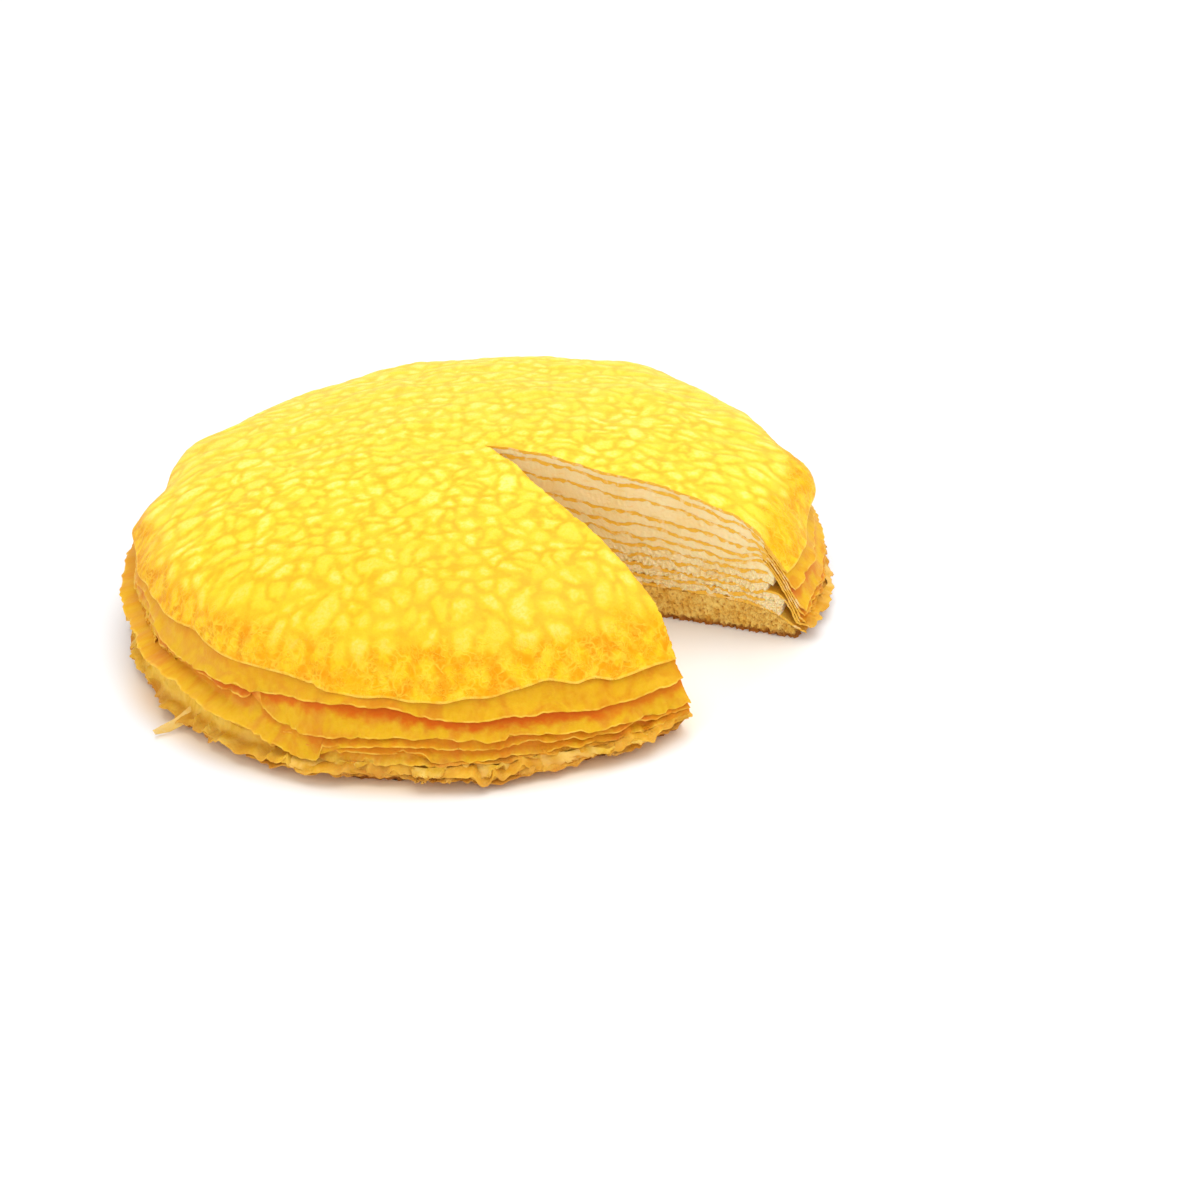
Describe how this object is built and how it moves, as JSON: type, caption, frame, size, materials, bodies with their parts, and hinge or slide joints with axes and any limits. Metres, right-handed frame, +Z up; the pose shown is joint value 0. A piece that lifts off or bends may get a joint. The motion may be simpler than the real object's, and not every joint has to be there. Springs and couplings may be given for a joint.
{
  "type": "crepe cake",
  "caption": "Round crepe cake of thin crepes and cream over a sponge base, with one wedge cut out so that its layers show.",
  "frame": {"origin": "on the cake's axis, where the sponge's underside meets the table", "axes": "+Z up from the table along the cake's axis; the missing wedge opens between +X and -Y; -Y is the front"},
  "size_m": [0.2009, 0.199, 0.047],
  "materials": {
    "top_crepe": "bright yellow crepe with small pale cells in a golden-brown net, soft sheen",
    "crepe": "golden crepe, blotched and slightly translucent, soft sheen",
    "cream": "ivory cream, cut smooth with fine pores",
    "sponge": "open golden crumb with a browned underside"
  },
  "bodies": {
    "root": {"sponge": "sponge", "crepe_01": "top_crepe", "crepe_02": "crepe", "crepe_03": "crepe", "crepe_04": "crepe", "crepe_05": "crepe", "crepe_06": "crepe", "crepe_07": "crepe", "crepe_08": "crepe", "crepe_09": "crepe", "crepe_10": "crepe", "crepe_11": "crepe", "cream_01": "cream", "cream_02": "cream", "cream_03": "cream", "cream_04": "cream", "cream_05": "cream", "cream_06": "cream", "cream_07": "cream", "cream_08": "cream", "cream_09": "cream", "cream_10": "cream"}
  },
  "joints": []
}
